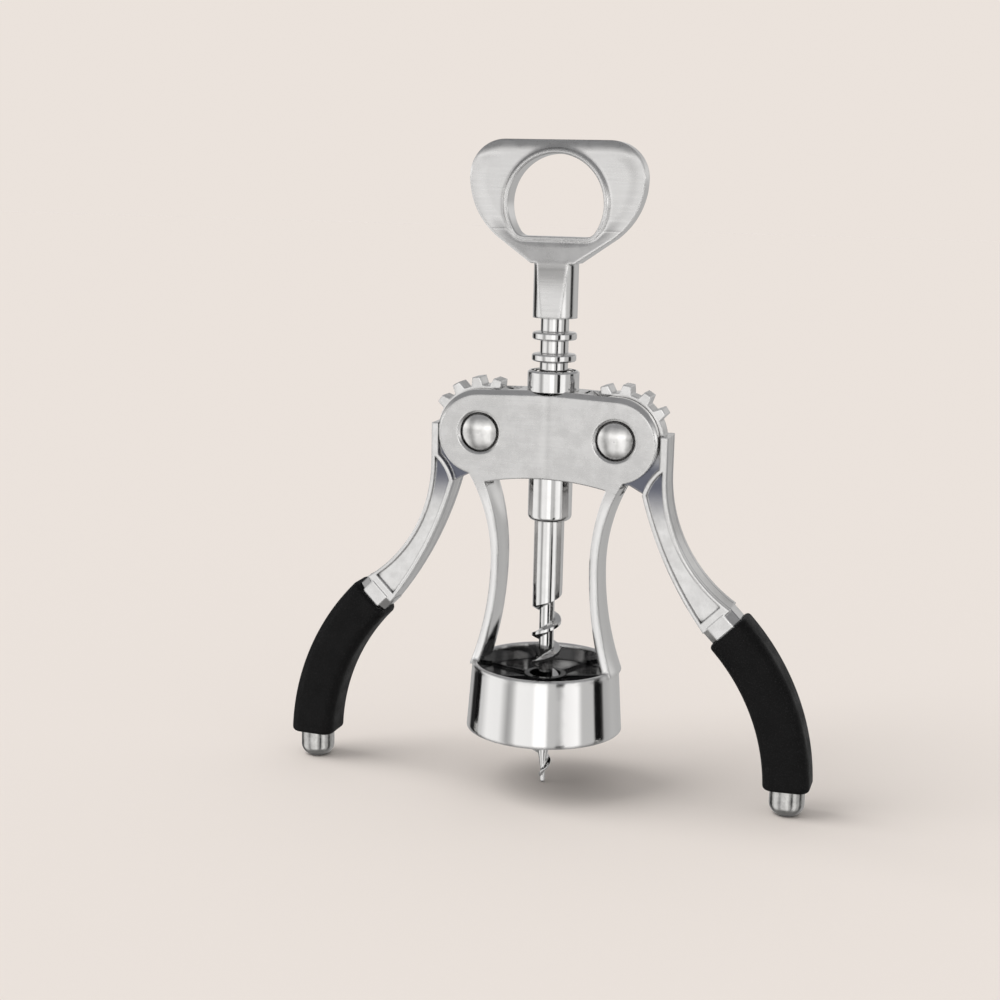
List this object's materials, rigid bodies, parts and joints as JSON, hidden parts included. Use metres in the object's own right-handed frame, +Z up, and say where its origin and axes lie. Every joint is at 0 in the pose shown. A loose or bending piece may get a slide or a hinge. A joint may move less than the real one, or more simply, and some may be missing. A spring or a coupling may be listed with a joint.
{
  "type": "wing corkscrew",
  "caption": "Wing corkscrew: two geared levers drive a ringed rack and its worm through a frame with a bell that seats on a bottle.",
  "frame": {"origin": "centre of the bell's lower rim, on the screw's axis", "axes": "+Z up along the screw's axis to the opener; +X towards the right lever; +Y towards the back"},
  "size_m": [0.1538, 0.0444, 0.182],
  "materials": {
    "satin_casting": "satin",
    "black_plastic": "matte",
    "polished_chrome": "polished",
    "rivet_metal": "satin",
    "lever_casting": "bright",
    "soft_black": "matte",
    "cap_metal": "satin",
    "polished_steel": "polished"
  },
  "bodies": {
    "frame": {"frame": "satin_casting", "bell_liner": "black_plastic", "collar": "polished_chrome", "left_rivet": "rivet_metal", "right_rivet": "rivet_metal"},
    "left_lever": {"left_lever": "lever_casting", "left_grip": "soft_black", "left_end_cap": "cap_metal"},
    "right_lever": {"right_lever": "lever_casting", "right_grip": "soft_black", "right_end_cap": "cap_metal"},
    "rack": {"rack_sleeve": "polished_chrome"},
    "screw": {"screw": "polished_steel", "opener": "satin_casting"}
  },
  "joints": [
    {"name": "left_lever_raise", "type": "hinge", "parent": "frame", "child": "left_lever", "pos_m": [-0.0194, 0, 0.08445], "axis": [0, 1, 0], "range_deg": [-17, 112]},
    {"name": "right_lever_raise", "type": "hinge", "parent": "frame", "child": "right_lever", "pos_m": [0.0194, 0, 0.08445], "axis": [0, -1, 0], "range_deg": [-17, 112]},
    {"name": "rack_drop", "type": "slide", "parent": "frame", "child": "rack", "axis": [0, 0, -1], "range_m": [-0.0043, 0.0279]},
    {"name": "screw_turn", "type": "hinge", "parent": "rack", "child": "screw", "pos_m": [0, 0, 0.0616], "axis": [0, 0, -1], "continuous": true}
  ],
  "couplings": [
    {"joint": "right_lever_raise", "follows": "left_lever_raise", "ratio": 1},
    {"joint": "rack_drop", "follows": "left_lever_raise", "m_per_rad": 0.014235}
  ]
}
